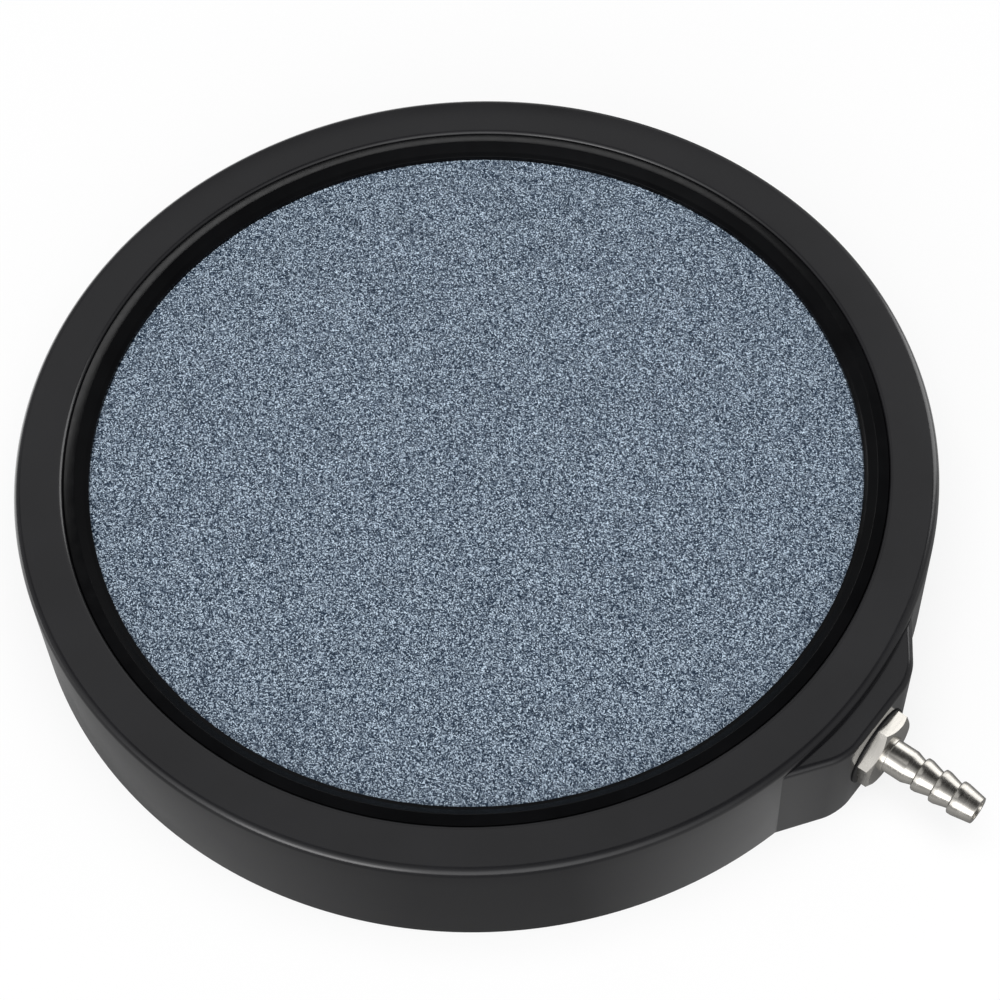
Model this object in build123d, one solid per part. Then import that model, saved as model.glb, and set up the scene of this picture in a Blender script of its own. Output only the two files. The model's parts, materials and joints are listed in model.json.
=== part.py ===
from build123d import *
from math import cos, radians, sin, tan
import os

os.makedirs("parts", exist_ok=True)

# Fine bubble disc diffuser: a round moulded housing stands on its flat underside and holds a porous disc
# under a pressed-in sealing ring. Air comes in through a hose barb in a boss on the side.
# Millimetres. The origin is on the disc's axis in the plane that it stands on, the inlet points along +X.

# Driving dimensions: housing
DISC_DIAMETER = 200.0  # over the rim
HEIGHT = 28.6  # from the standing plane to the flat of the rim
WALL = 3.0  # moulded wall
FLARE = 0.15  # how much further out the foot of the outer wall stands than the rim
RIM_WIDTH = 10.65  # from the outer wall to the well
RIM_OUTER_ROUND = 2.0
RIM_INNER_EDGE = 0.9  # broken edge towards the well
LEDGE_WIDTH = 7.75  # step in the well that the porous disc and its ring stand on
RIB_COUNT = 12
RIB_THICKNESS = 2.0
RIB_SETBACK = 1.0  # ribs end this far above the standing plane
POST_RING_COUNT = 6
POST_RING_RATIO = 0.55  # circle of posts, as a share of the chamber's radius
POST_RADIUS = 3.8

# Driving dimensions: porous disc and sealing ring
PLATE_THICKNESS = 9.0
PLATE_DROP = 3.8  # top face below the rim
RING_WALL = 3.4  # thickness beside the disc
RING_DROP = 0.5  # outer edge below the rim
RING_EDGE = 0.4  # broken outer edge
RING_BULGE = 0.45  # how far the rolled face stands out of the straight line
RING_LAP = 1.8  # width that laps over the disc
RING_LIP = 0.55  # height of the upright lip on the disc
RING_CLEARANCE = 0.15  # to the wall of the well
PLATE_CLEARANCE = 0.2  # to the ring around it

# Driving dimensions: inlet boss and duct
BOSS_REACH = 5.3  # front face beyond the rim's diameter
BOSS_HALF_WIDTH = 11.9  # to where front face and cheek would meet unrounded
CHEEK_ANGLE = 34.5  # cheek off the front face
BOSS_CORNER_ROUND = 12.0
BOSS_EDGE_ROUND = 1.5
BOSS_DROP = 2.8  # top below the rim
INLET_HEIGHT = 12.7  # axis of the fitting
DUCT_WALL = 3.1
PASSAGE_RADIUS = 2.4  # air passage behind the threaded bore

# Driving dimensions: hose barb and washer
TAIL_RADIUS = 4.8
TAIL_LENGTH = 8.6
TAIL_CHAMFER = 0.6
TAIL_CLEARANCE = 0.1  # tail in its bore, on the radius
BORE_SPARE = 2.0  # bore deeper than the tail
WASHER_RADIUS = 9.0
WASHER_THICKNESS = 0.4
HEX_FLATS = 15.0
HEX_THICKNESS = 2.85
HEX_TURN = 8.0  # a corner stands this many degrees off upright
HEX_FACE_RADIUS = 7.55  # flat end of the chamfered hex
HEX_CORNER_CUT = 0.75
COLLAR_RADIUS = 4.05
COLLAR_LENGTH = 0.6
STEM_RADIUS = 3.7
STEM_LENGTH = 4.4
STEM_TAPER_LENGTH = 2.4
NECK_RADIUS = 2.93  # where a cone meets the back of the next barb
BARB_RADIUS = 3.8
BARB_COUNT = 3
BARB_PITCH = 4.35
BARB_EDGE = 0.35  # broken back edge of a barb
BARB_LAND = 0.8
TIP_LENGTH = 4.3  # cone of the last barb
TIP_RADIUS = 3.05
TIP_EDGE = 0.2
BARB_BORE_RADIUS = 2.1

# Worked out from the values above: housing
RIM_RADIUS = DISC_DIAMETER / 2
WELL_RADIUS = RIM_RADIUS - RIM_WIDTH
CHAMBER_RADIUS = WELL_RADIUS - LEDGE_WIDTH
CUP_RADIUS = CHAMBER_RADIUS + WALL
PLATE_TOP = HEIGHT - PLATE_DROP
LEDGE_HEIGHT = PLATE_TOP - PLATE_THICKNESS
BOSS_FACE = RIM_RADIUS + BOSS_REACH
BOSS_TOP = HEIGHT - BOSS_DROP

# Worked out from the values above: ring and porous disc
RING_RADIUS = WELL_RADIUS - RING_CLEARANCE
RING_INNER_RADIUS = RING_RADIUS - RING_WALL
PLATE_RADIUS = RING_INNER_RADIUS - PLATE_CLEARANCE
LIP_RADIUS = PLATE_RADIUS - RING_LAP

# Worked out from the values above: duct
BORE_RADIUS = TAIL_RADIUS + TAIL_CLEARANCE
DUCT_RADIUS = BORE_RADIUS + DUCT_WALL


def disc(radius, bottom, top):
    """Upright cylinder about Z between two heights."""
    return Pos(0, 0, bottom) * extrude(Circle(radius), top - bottom)


def rod(radius, start, end, height):
    """Cylinder along X between two distances from the axis."""
    return Pos(start, 0, height) * (Rot(0, 90, 0) * extrude(Circle(radius), end - start))


def housing_section():
    """Half section of the shell: outer wall, rim, well, ledge, chamber and floor in one moulded wall."""
    outline = Polyline(
        (0, 0),
        (CUP_RADIUS, 0),
        (CUP_RADIUS, LEDGE_HEIGHT - WALL),
        (WELL_RADIUS + WALL, LEDGE_HEIGHT - WALL),
        (WELL_RADIUS + WALL, HEIGHT - WALL),
        (RIM_RADIUS - WALL, HEIGHT - WALL),
        (RIM_RADIUS - WALL + FLARE, 0),
        (RIM_RADIUS + FLARE, 0),
        (RIM_RADIUS, HEIGHT),
        (WELL_RADIUS, HEIGHT),
        (WELL_RADIUS, LEDGE_HEIGHT),
        (CHAMBER_RADIUS, LEDGE_HEIGHT),
        (CHAMBER_RADIUS, WALL),
        (0, WALL),
        close=True,
    )
    face = make_face(outline)
    face = fillet(corner(face, RIM_RADIUS, HEIGHT), RIM_OUTER_ROUND)
    return chamfer(corner(face, WELL_RADIUS, HEIGHT), RIM_INNER_EDGE)


def corner(face, x, y):
    """The corner of a flat outline that is nearest to (x, y)."""
    return face.vertices().sort_by_distance((x, y, 0))[0]


def boss_plan(inset):
    """Plan of the inlet boss: flat front, slanting cheeks, rounded corners. inset draws its inner wall."""
    slant = radians(CHEEK_ANGLE)
    run = RIM_WIDTH / sin(slant)
    front = BOSS_FACE - inset
    half = BOSS_HALF_WIDTH - inset * tan(slant / 2)
    back = front - run * sin(slant)
    half_back = half + run * cos(slant)
    outline = Polyline((back, -half_back), (front, -half), (front, half), (back, half_back), close=True)
    face = make_face(outline)
    corners = face.vertices().sort_by(Axis.X)[-2:]
    return fillet(corners, BOSS_CORNER_ROUND - inset)


def boss():
    """Solid inlet boss with its rounded top edge, from the middle of the outer wall outwards."""
    body = extrude(boss_plan(0), BOSS_TOP)
    body = fillet(body.faces().sort_by(Axis.Z)[-1].edges(), BOSS_EDGE_ROUND)
    return body - disc(RIM_RADIUS - WALL / 2, 0, HEIGHT)


def boss_hollow():
    """The boss is open below and hollow, joined with the channel under the rim."""
    hollow = extrude(boss_plan(WALL), BOSS_TOP - WALL)
    return hollow - disc(WELL_RADIUS + WALL, 0, HEIGHT)


def well_space():
    """Space of the well and of the air chamber under it, which ribs and duct stay out of."""
    return disc(WELL_RADIUS, LEDGE_HEIGHT, HEIGHT) + disc(CHAMBER_RADIUS, WALL, LEDGE_HEIGHT)


def ribs():
    """Radial ribs that tie the outer wall to the cup. The one under the duct carries on to the boss face."""
    inner = CHAMBER_RADIUS + WALL / 2
    outer = RIM_RADIUS - WALL / 2
    top = HEIGHT - WALL / 2
    rib = Pos(inner, 0, RIB_SETBACK) * Box(
        outer - inner, RIB_THICKNESS, top - RIB_SETBACK, align=(Align.MIN, Align.CENTER, Align.MIN)
    )
    web = Pos(inner, 0, RIB_SETBACK) * Box(
        BOSS_FACE - WALL / 2 - inner, RIB_THICKNESS, BOSS_TOP - WALL / 2 - RIB_SETBACK,
        align=(Align.MIN, Align.CENTER, Align.MIN),
    )
    return web + [Rot(0, 0, 360 * i / RIB_COUNT) * rib for i in range(1, RIB_COUNT)]


def posts():
    """Posts on the floor of the chamber that carry the middle of the porous disc."""
    post = disc(POST_RADIUS, WALL / 2, LEDGE_HEIGHT)
    out = Pos(POST_RING_RATIO * CHAMBER_RADIUS, 0, 0)
    turns = [Rot(0, 0, 360 * (i + 0.5) / POST_RING_COUNT) for i in range(POST_RING_COUNT)]
    return post + [turn * out * post for turn in turns]


def inlet_bore():
    """Bore for the fitting's tail and the narrower passage from it into the air chamber."""
    end = BOSS_FACE - TAIL_LENGTH - BORE_SPARE
    bore = rod(BORE_RADIUS, end, BOSS_FACE + WALL, INLET_HEIGHT)
    return bore + rod(PASSAGE_RADIUS, CHAMBER_RADIUS - WALL, end + WALL, INLET_HEIGHT)


def housing():
    """Moulded housing: shell, boss, ribs, duct and posts in one piece."""
    shell = revolve(Plane.XZ * housing_section(), Axis.Z)
    duct = rod(DUCT_RADIUS, CHAMBER_RADIUS + WALL / 2, BOSS_FACE - WALL / 2, INLET_HEIGHT)
    body = shell + boss() - boss_hollow()
    body += (ribs() + duct) - well_space()
    return body + posts() - inlet_bore()


def porous_disc():
    """Bonded grit disc."""
    return disc(PLATE_RADIUS, LEDGE_HEIGHT, PLATE_TOP)


def sealing_ring():
    """Ring with a rolled, convex top that slopes from the rim to an upright lip on the porous disc."""
    outer = (RING_RADIUS, HEIGHT - RING_DROP)
    lip = (LIP_RADIUS, PLATE_TOP + RING_LIP)
    slope = Vector(*outer) - Vector(*lip)
    out = Vector(-slope.Y, slope.X).normalized() * RING_BULGE
    middle = (Vector(*outer) + Vector(*lip)) / 2 + out
    roll = ThreePointArc(lip, (middle.X, middle.Y), outer)
    rest = Polyline(
        outer,
        (RING_RADIUS, LEDGE_HEIGHT),
        (RING_INNER_RADIUS, LEDGE_HEIGHT),
        (RING_INNER_RADIUS, PLATE_TOP),
        (LIP_RADIUS, PLATE_TOP),
        lip,
    )
    face = make_face(roll + rest)
    face = chamfer(corner(face, *outer), RING_EDGE)
    return revolve(Plane.XZ * face, Axis.Z)


def at_inlet(piece):
    """Moves a piece built along X from the boss face outwards to the inlet."""
    return Pos(BOSS_FACE, 0, INLET_HEIGHT) * piece


def fitting_washer():
    """Flat washer between the boss face and the hex."""
    return at_inlet(rod(WASHER_RADIUS, 0, WASHER_THICKNESS, 0) - rod(BORE_RADIUS, 0, WASHER_THICKNESS, 0))


def hex_head():
    """Hexagon with its outer corners chamfered by a cone."""
    start = WASHER_THICKNESS
    end = start + HEX_THICKNESS
    flat = RegularPolygon(HEX_FLATS / 2, 6, major_radius=False)
    prism = Pos(start, 0, 0) * (Rot(0, 90, 0) * (Rot(0, 0, HEX_TURN) * extrude(flat, HEX_THICKNESS)))
    corner_radius = HEX_FLATS / 2 / cos(radians(30))
    slope = HEX_CORNER_CUT / (corner_radius - HEX_FACE_RADIUS)
    reach = corner_radius + HEX_CORNER_CUT  # clear of the corners
    cone = Polyline(
        (start, 0),
        (start, reach),
        (end - slope * (reach - HEX_FACE_RADIUS), reach),
        (end, HEX_FACE_RADIUS),
        (end, 0),
        close=True,
    )
    return prism & revolve(make_face(cone), Axis.X)


def barb_outline():
    """(distance from the boss face, radius) along the tail, collar, stem, barbs and tip."""
    collar = WASHER_THICKNESS + HEX_THICKNESS
    stem = collar + COLLAR_LENGTH
    taper = stem + STEM_LENGTH
    first = taper + STEM_TAPER_LENGTH
    points = [
        (-TAIL_LENGTH, TAIL_RADIUS - TAIL_CHAMFER),
        (-TAIL_LENGTH + TAIL_CHAMFER, TAIL_RADIUS),
        (collar - HEX_THICKNESS / 2, TAIL_RADIUS),
        (collar - HEX_THICKNESS / 2, COLLAR_RADIUS),
        (stem, COLLAR_RADIUS),
        (stem, STEM_RADIUS),
        (taper, STEM_RADIUS),
    ]
    for i in range(BARB_COUNT):
        back = first + i * BARB_PITCH
        points += [
            (back, NECK_RADIUS),
            (back, BARB_RADIUS - BARB_EDGE),
            (back + BARB_EDGE, BARB_RADIUS),
            (back + BARB_EDGE + BARB_LAND, BARB_RADIUS),
        ]
    tip = back + BARB_EDGE + BARB_LAND + TIP_LENGTH
    return points + [(tip - TIP_EDGE, TIP_RADIUS), (tip, TIP_RADIUS - TIP_EDGE)]


def hose_barb():
    """Plated brass fitting: tail, hex, collar, stem and three barbs round one through bore."""
    outline = barb_outline()
    start = outline[0][0]
    tip = outline[-1][0]
    profile = Polyline((start, 0), *outline, (tip, 0), close=True)
    body = revolve(make_face(profile), Axis.X) + hex_head()
    return at_inlet(body - rod(BARB_BORE_RADIUS, start, tip, 0))


NODES = {
    "housing": housing,
    "porous_disc": porous_disc,
    "sealing_ring": sealing_ring,
    "fitting_washer": fitting_washer,
    "hose_barb": hose_barb,
}

for name, build in NODES.items():
    export_step(build(), f"parts/{name}.step")
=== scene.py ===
import json
import logging
import math
import random
from dataclasses import dataclass
from enum import Enum

import bmesh
import bpy
from mathutils import Matrix, Vector

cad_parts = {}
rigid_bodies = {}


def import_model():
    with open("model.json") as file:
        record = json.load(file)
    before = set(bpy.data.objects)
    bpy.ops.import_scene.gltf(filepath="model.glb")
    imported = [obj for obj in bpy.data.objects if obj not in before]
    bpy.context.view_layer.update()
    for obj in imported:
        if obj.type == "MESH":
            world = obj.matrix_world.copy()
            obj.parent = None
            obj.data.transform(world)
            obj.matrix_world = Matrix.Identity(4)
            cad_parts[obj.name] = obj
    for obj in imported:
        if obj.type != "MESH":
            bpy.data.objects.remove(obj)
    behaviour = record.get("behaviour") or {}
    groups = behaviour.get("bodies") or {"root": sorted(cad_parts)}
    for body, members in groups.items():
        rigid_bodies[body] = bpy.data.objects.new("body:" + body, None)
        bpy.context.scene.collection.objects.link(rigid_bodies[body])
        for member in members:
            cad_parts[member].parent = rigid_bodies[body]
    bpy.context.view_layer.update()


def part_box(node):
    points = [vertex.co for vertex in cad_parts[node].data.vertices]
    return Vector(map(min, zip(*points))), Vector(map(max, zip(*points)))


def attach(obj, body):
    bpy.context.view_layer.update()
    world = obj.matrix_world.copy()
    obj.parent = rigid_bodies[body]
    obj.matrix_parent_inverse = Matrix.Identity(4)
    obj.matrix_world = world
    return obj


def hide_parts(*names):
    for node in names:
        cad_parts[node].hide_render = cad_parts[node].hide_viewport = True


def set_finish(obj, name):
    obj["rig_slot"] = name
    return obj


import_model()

Shape = bmesh.types.BMesh
Point = bmesh.types.BMVert
Edge = bmesh.types.BMEdge
Socket = bpy.types.NodeSocket
Colour = tuple[float, float, float]
Levels = tuple[tuple[float, float], ...]

LOG = logging.getLogger("diffuser")
MM = 0.001
BODY = "root"
FULL_TURN = math.tau
UP = Vector((0.0, 0.0, 1.0))
Z_TO_INLET = Matrix.Rotation(math.pi / 2, 4, "Y")
MERGE_WITHIN = 1e-7  # metres
SLACK = 0.01  # millimetres within which two places count as one
ARC_SLACK = 0.2  # millimetres within which a point counts as on an arc
UPRIGHT = 0.5  # a facet whose normal rises by less stands upright
SHARP_TURN = 1.0  # radians by which facets turn at an edge that gets rounded
NOISE_BAND = (0.3, 0.7)  # where most values of a noise lie


class Rounded(Enum):
    """What a rounding takes: the points of an outline, or the edges of a solid."""

    POINTS = "VERTICES"
    EDGES = "EDGES"


class Glow(Enum):
    """What a lamp does: light surfaces softly, or only show in gloss."""

    FILL = "fill"
    SHINE = "shine"


# ------------------------------------------------------------------------------------------------
# Shapes
# ------------------------------------------------------------------------------------------------


@dataclass(frozen=True)
class Corner:
    """One corner of a section.

    Attributes:
        out: distance from the axis, in millimetres.
        along: height along the axis, in millimetres.
        rounding: radius of the rounded corner, in millimetres, or 0 for a sharp one.
        steps: facets across the rounding.
    """

    out: float
    along: float
    rounding: float = 0.0
    steps: int = 4


def section(corners: list[Corner]) -> Shape:
    """Draws a section in the XZ plane as edges and rounds its corners.

    Args:
        corners: the section's corners, in order. The last joins the first unless they lie on the axis.

    Returns:
        A bmesh that holds only the section's edges, in metres.
    """
    bm = bmesh.new()
    closed = corners[0].out > 0
    places = [Vector((c.out * MM, 0.0, c.along * MM)) for c in corners]
    verts = [bm.verts.new(p) for p in places]
    for a, b in zip(verts, verts[1:]):
        bm.edges.new((a, b))
    if closed:
        bm.edges.new((verts[-1], verts[0]))
    for i, corner in enumerate(corners):
        if corner.rounding > 0:
            before = (places[i] - places[i - 1]).normalized()
            after = (places[(i + 1) % len(places)] - places[i]).normalized()
            reach = corner.rounding * MM * math.tan(before.angle(after) / 2)
            round_off(bm, [verts[i]], reach, corner.steps, Rounded.POINTS)
    return bm


def round_off(
    bm: Shape, geom: list[Point] | list[Edge], reach: float, steps: int, what: Rounded = Rounded.EDGES
) -> None:
    """Rounds points or edges.

    Args:
        bm: the mesh.
        geom: the vertices or edges to round.
        reach: how far from them each rounding starts, in metres.
        steps: facets across each rounding.
        what: whether they are points or edges.
    """
    bmesh.ops.bevel(
        bm, geom=geom, offset=reach, offset_type="OFFSET", segments=steps,
        profile=0.5, affect=what.value, material=-1,
    )


def turned(corners: list[Corner], steps: int) -> Shape:
    """Turns a section a full turn about Z and closes its seam and poles.

    Args:
        corners: the section's corners.
        steps: facets around.

    Returns:
        A closed solid.
    """
    bm = section(corners)
    bmesh.ops.spin(
        bm, geom=bm.verts[:] + bm.edges[:], cent=(0, 0, 0), axis=UP, dvec=(0, 0, 0),
        angle=FULL_TURN, steps=steps, use_merge=True, use_duplicate=False,
    )
    bmesh.ops.remove_doubles(bm, verts=bm.verts[:], dist=MERGE_WITHIN)
    bmesh.ops.recalc_face_normals(bm, faces=bm.faces[:])
    return bm


def place(bm: Shape, *moves: Matrix) -> Shape:
    """Applies transforms to a mesh, in order.

    Args:
        bm: the mesh.
        moves: the transforms.

    Returns:
        The same mesh.
    """
    for move in moves:
        bmesh.ops.transform(bm, matrix=move, verts=bm.verts[:])
    return bm


def shift(x: float = 0.0, z: float = 0.0) -> Matrix:
    """A move by millimetres, outwards along the inlet and up."""
    return Matrix.Translation((x * MM, 0.0, z * MM))


def thicken(bm: Shape, move: Vector) -> None:
    """Extrudes every face of a flat mesh by a move, in metres."""
    raised = bmesh.ops.extrude_face_region(bm, geom=bm.faces[:])["geom"]
    bmesh.ops.translate(bm, vec=move, verts=[g for g in raised if isinstance(g, Point)])


def repeat(bm: Shape, count: int) -> None:
    """Copies everything in a mesh evenly round Z, to a number of copies in all."""
    bmesh.ops.spin(
        bm, geom=bm.verts[:] + bm.edges[:] + bm.faces[:], cent=(0, 0, 0), axis=UP, dvec=(0, 0, 0),
        angle=FULL_TURN * (count - 1) / count, steps=count - 1, use_merge=False, use_duplicate=True,
    )


def join(bm: Shape, extra: Shape) -> Shape:
    """Adds a second mesh to a first.

    Args:
        bm: the first mesh.
        extra: the second. It is freed.

    Returns:
        The first mesh.
    """
    mesh = to_mesh(extra, "extra")
    bm.from_mesh(mesh)
    bpy.data.meshes.remove(mesh)
    return bm


def to_mesh(bm: Shape, name: str) -> bpy.types.Mesh:
    """Writes a bmesh to a new mesh.

    Args:
        bm: the bmesh. It is freed.
        name: name of the mesh.

    Returns:
        The mesh.
    """
    mesh = bpy.data.meshes.new(name)
    bm.to_mesh(mesh)
    bm.free()
    return mesh


def overlap(body: Shape, tool: Shape) -> Shape:
    """Keeps what two closed solids share.

    Args:
        body: one solid. It is freed.
        tool: the other. It is freed.

    Returns:
        A new bmesh.
    """
    work = bpy.data.objects.new("work", to_mesh(body, "work"))
    cutter = bpy.data.objects.new("cutter", to_mesh(tool, "cutter"))
    for item in (work, cutter):
        bpy.context.scene.collection.objects.link(item)
    modifier = work.modifiers.new("overlap", "BOOLEAN")
    modifier.operation = "INTERSECT"
    modifier.solver = "EXACT"
    modifier.object = cutter
    result = bmesh.new()
    result.from_object(work, bpy.context.evaluated_depsgraph_get())
    for item in (work, cutter):
        mesh = item.data
        bpy.data.objects.remove(item)
        bpy.data.meshes.remove(mesh)
    return result


@dataclass(frozen=True)
class Part:
    """Where a finished piece belongs.

    Attributes:
        name: name of the piece.
        node: the frame's node that it stands for, and the finish slot of the same name.
        sharp_deg: edges that turn by more than this stay sharp.
        flat: whether every facet is shaded flat.
    """

    name: str
    node: str
    sharp_deg: float = 35.0
    flat: bool = False

    def finish(self, bm: Shape, material: bpy.types.Material) -> None:
        """Makes the object, shades it, dresses it and hangs it on its body.

        Args:
            bm: the finished shape. It is freed.
            material: what it is made of.
        """
        for face in bm.faces:
            face.smooth = not self.flat
        mesh = to_mesh(bm, self.name)
        if not self.flat:
            mesh.set_sharp_from_angle(angle=math.radians(self.sharp_deg))
        mesh.materials.append(material)
        piece = bpy.data.objects.new(self.name, mesh)
        bpy.context.scene.collection.objects.link(piece)
        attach(piece, BODY)
        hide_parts(self.node)
        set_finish(piece, self.node)
        LOG.info("%s: %d faces for %s", self.name, len(mesh.polygons), self.node)


# ------------------------------------------------------------------------------------------------
# Finishes
# ------------------------------------------------------------------------------------------------


class Deck:
    """The nodes laid on a tree."""

    def __init__(self, tree: bpy.types.NodeTree, coordinates: str) -> None:
        """Starts on a tree.

        Args:
            tree: the tree.
            coordinates: which texture coordinates the nodes read.
        """
        self.tree = tree
        self.place = self.add("TexCoord").outputs[coordinates]

    def add(self, kind: str, **values: object) -> bpy.types.Node:
        """Adds a node.

        Args:
            kind: node type without its ShaderNode prefix.
            values: properties of the node, or inputs by name with spaces as underscores. A socket is linked.

        Returns:
            The node.
        """
        node = self.tree.nodes.new("ShaderNode" + kind)
        for key, value in values.items():
            if hasattr(node, key):
                setattr(node, key, value)
            else:
                self.feed(node.inputs[key.replace("_", " ")], value)
        return node

    def work(self, kind: str, operation: str, *values: object) -> bpy.types.Node:
        """Adds a Math or VectorMath node.

        Args:
            kind: Math or VectorMath.
            operation: what it works out.
            values: its inputs, in order.

        Returns:
            The node.
        """
        node = self.add(kind, operation=operation)
        for socket, value in zip(node.inputs, values):
            self.feed(socket, value)
        return node

    def feed(self, socket: Socket, value: object) -> None:
        """Links an output to a socket, or sets the socket's own value.

        Args:
            socket: the input to feed.
            value: an output to link, or a plain value.
        """
        if isinstance(value, Socket):
            self.tree.links.new(value, socket)
        else:
            socket.default_value = value

    def noise(self, scale: float, detail: float = 4.0, where: Socket | None = None) -> Socket:
        """Noise between 0 and 1.

        Args:
            scale: lumps per metre.
            detail: octaves.
            where: coordinates, or the deck's own.

        Returns:
            The value's socket.
        """
        return self.add("TexNoise", Vector=where or self.place, Scale=scale, Detail=detail).outputs["Fac"]

    def spread(
        self, value: Socket, low: float | Socket, high: float | Socket, start: float = 0.0, end: float = 1.0
    ) -> Socket:
        """Maps a value from start..end to low..high, clamped.

        Args:
            value: the value's socket.
            low: what start becomes.
            high: what end becomes.
            start: where the value starts.
            end: where it ends.

        Returns:
            The new value's socket.
        """
        node = self.add("MapRange", Value=value, From_Min=start, From_Max=end, To_Min=low, To_Max=high)
        return node.outputs["Result"]

    def ramp(self, value: Socket, stops: list[tuple[float, Colour]]) -> Socket:
        """Colours a value.

        Args:
            value: what drives the colour.
            stops: positions and linear colours.

        Returns:
            The colour's socket.
        """
        node = self.add("ValToRGB", Fac=value)
        elements = node.color_ramp.elements
        while len(elements) < len(stops):
            elements.new(0.5)
        for element, (position, colour) in zip(elements, stops):
            element.position = position
            element.color = (*colour, 1.0)
        return node.outputs["Color"]

    def mottle(self, noise: Socket, colour: Colour, dark: float, light: float) -> Socket:
        """Colours a noise with a darker and a lighter tone of one colour.

        Args:
            noise: the noise's socket.
            colour: linear colour between the two.
            dark: share of the colour in the darkest places.
            light: share of it in the lightest places.

        Returns:
            The colour's socket.
        """
        tones = [tuple(share * c for c in colour) for share in (dark, light)]
        return self.ramp(noise, list(zip(NOISE_BAND, tones)))

    def bump(self, height: Socket, strength: float, distance: float, normal: Socket | None = None) -> Socket:
        """Relief from a height.

        Args:
            height: the height's socket.
            strength: how much of it shows.
            distance: depth of a full height, in metres.
            normal: relief to add to.

        Returns:
            The normal's socket.
        """
        node = self.add("Bump", Height=height, Strength=strength, Distance=distance)
        if normal is not None:
            self.feed(node.inputs["Normal"], normal)
        return node.outputs["Normal"]


class Paint(Deck):
    """A new material with a Principled shader and the nodes laid on it."""

    def __init__(self, name: str) -> None:
        """Starts an empty material.

        Args:
            name: name of the material.
        """
        self.material = bpy.data.materials.new(name)
        self.material.use_nodes = True
        super().__init__(self.material.node_tree, "Object")
        self.shader = self.tree.nodes["Principled BSDF"]

    def set(self, **values: object) -> None:
        """Sets or links inputs of the Principled shader, by name with spaces as underscores."""
        for key, value in values.items():
            self.feed(self.shader.inputs[key.replace("_", " ")], value)


@dataclass(frozen=True)
class MouldedPlastic:
    """Satin black moulded plastic.

    Attributes:
        colour: linear base colour.
        roughness: middle roughness.
        specular: specular level.
        clouds: patches of darker and lighter tone per metre.
        specks: fine grains per metre.
        waves: shallow sink marks per metre.
    """

    colour: Colour = (0.0100, 0.0100, 0.0112)
    roughness: float = 0.20
    specular: float = 0.5
    clouds: float = 55.0
    specks: float = 2600.0
    waves: float = 38.0

    def material(self) -> bpy.types.Material:
        """Builds the material.

        Returns:
            The material.
        """
        deck = Paint("satin_black_plastic")
        cloud = deck.noise(self.clouds)
        fine = deck.noise(self.specks, detail=2.0)
        patchy = deck.spread(cloud, self.roughness - 0.03, self.roughness + 0.03, *NOISE_BAND)
        grainy = deck.spread(fine, -0.02, 0.02, *NOISE_BAND)
        wave = deck.bump(deck.noise(self.waves, detail=2.0), strength=0.12, distance=0.0006)
        deck.set(
            Base_Color=deck.mottle(cloud, self.colour, dark=0.86, light=1.14),
            Roughness=deck.work("Math", "ADD", patchy, grainy).outputs[0],
            Normal=deck.bump(fine, strength=0.10, distance=0.00004, normal=wave),
            Specular_IOR_Level=self.specular,
        )
        return deck.material


@dataclass(frozen=True)
class GlossyRubber:
    """Glossy black ring.

    Attributes:
        colour: linear base colour.
        roughness: middle roughness.
        specular: specular level.
        clouds: patches of darker and lighter tone per metre.
        smears: patches of duller and glossier skin per metre.
        specks: fine grains per metre.
        waves: shallow waves per metre.
    """

    colour: Colour = (0.0034, 0.0035, 0.0039)
    roughness: float = 0.20
    specular: float = 0.06
    clouds: float = 90.0
    smears: float = 400.0
    specks: float = 1800.0
    waves: float = 70.0

    def material(self) -> bpy.types.Material:
        """Builds the material.

        Returns:
            The material.
        """
        deck = Paint("glossy_black_ring")
        smear = deck.noise(self.smears)
        wave = deck.bump(deck.noise(self.waves, detail=2.0), strength=0.15, distance=0.0003)
        speck = deck.noise(self.specks, detail=2.0)
        deck.set(
            Base_Color=deck.mottle(deck.noise(self.clouds), self.colour, dark=0.8, light=1.25),
            Roughness=deck.spread(smear, self.roughness - 0.03, self.roughness + 0.04, *NOISE_BAND),
            Normal=deck.bump(speck, strength=0.05, distance=0.00003, normal=wave),
            Specular_IOR_Level=self.specular,
        )
        return deck.material


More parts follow.
